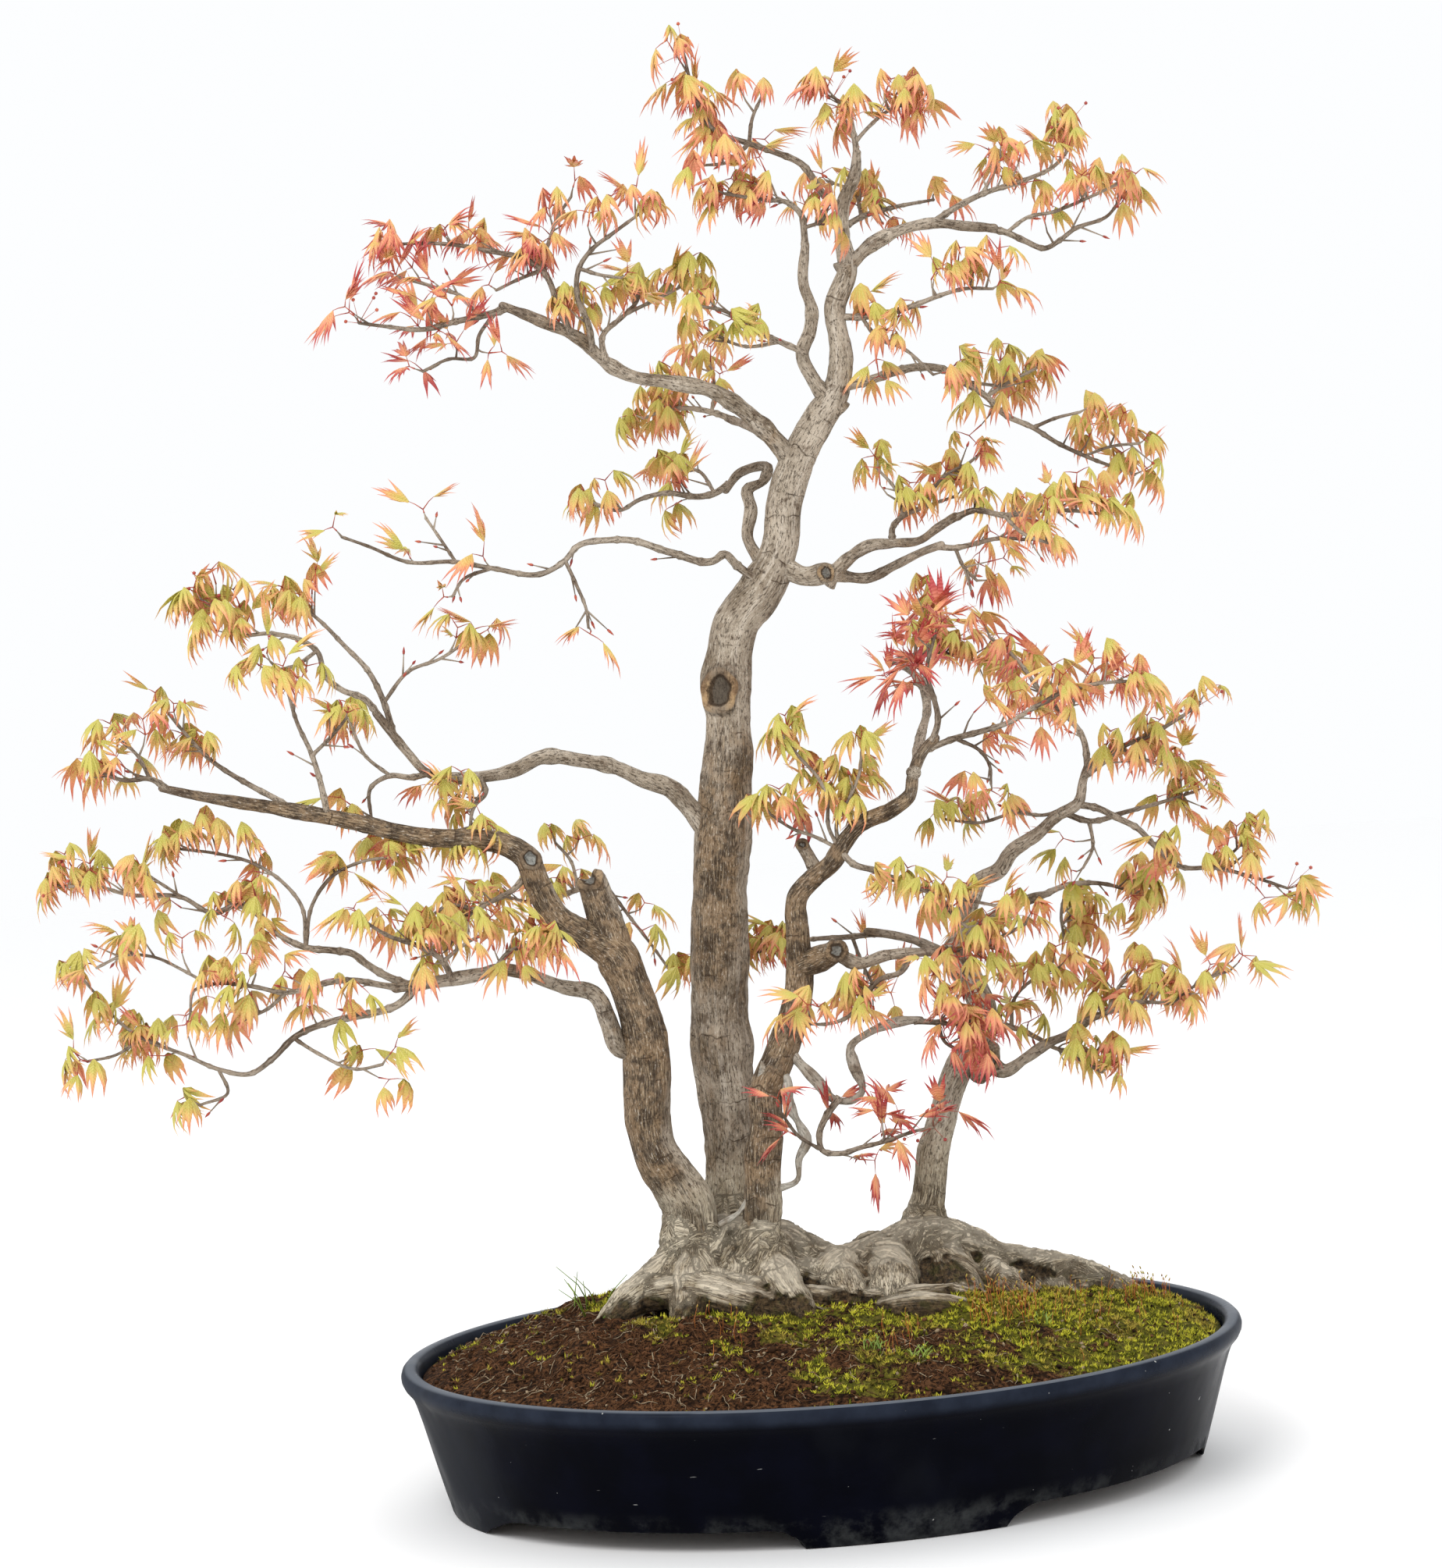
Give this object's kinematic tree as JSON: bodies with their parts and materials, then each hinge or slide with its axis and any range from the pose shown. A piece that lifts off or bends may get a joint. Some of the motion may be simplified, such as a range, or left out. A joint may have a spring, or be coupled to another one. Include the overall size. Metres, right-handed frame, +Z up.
{
  "type": "potted maple bonsai",
  "caption": "Clump-style Japanese maple bonsai in young spring leaf, its trunks rising from one fused root base in a footed oval pot with mossy soil.",
  "frame": {"origin": "bottom centre of the whole object's box, on the plane of the pot's feet", "axes": "+Z up, X along the pot's long side, -Y out of the pot's front"},
  "size_m": [0.8134, 0.4552, 0.9244],
  "materials": {
    "pot_glaze": "gloss",
    "drain_screen": "matte",
    "soil": "matte",
    "bark": "matte",
    "foliage": "matte"
  },
  "bodies": {
    "root": {"pot": "pot_glaze", "drain_screen_left": "drain_screen", "drain_screen_right": "drain_screen", "soil": "soil", "wood": "bark", "spray_top_left": "foliage", "spray_top_leader": "foliage", "spray_top_fork": "foliage", "spray_top_back": "foliage", "spray_right_top_outer": "foliage", "spray_right_top_inner": "foliage", "spray_left_top_tip": "foliage", "spray_left_top_upper": "foliage", "spray_left_top_inner": "foliage", "spray_left_top_centre": "foliage", "spray_mid_crown": "foliage", "spray_back_left": "foliage", "spray_back_top": "foliage", "spray_long_left": "foliage", "spray_left_mid_tip": "foliage", "spray_left_mid_upper": "foliage", "spray_left_mid_lower": "foliage", "spray_left_mid_under": "foliage", "spray_left_end": "foliage", "spray_left_shoulder": "foliage", "spray_left_rise": "foliage", "spray_low_left_hook": "foliage", "spray_low_left_tip": "foliage", "spray_low_left_under": "foliage", "spray_low_left_inner": "foliage", "spray_low_left_side": "foliage", "spray_mid_left": "foliage", "spray_back_low_left": "foliage", "spray_centre_rise": "foliage", "spray_centre_right": "foliage", "spray_centre_knob": "foliage", "spray_centre_hanging": "foliage", "spray_centre_green": "foliage", "spray_low_centre": "foliage", "spray_low_centre_right": "foliage", "spray_right_fork_left": "foliage", "spray_right_fork_outer": "foliage", "spray_far_right": "foliage", "spray_right_shoulder": "foliage", "spray_low_right_tip": "foliage", "spray_low_right_under": "foliage", "spray_back_centre": "foliage", "spray_back_right": "foliage", "spray_back_high_right": "foliage", "spray_right_high_tip": "foliage", "spray_right_high_bare": "foliage", "spray_right_high_back": "foliage", "spray_right_upper": "foliage", "spray_right_small": "foliage"}
  },
  "joints": []
}
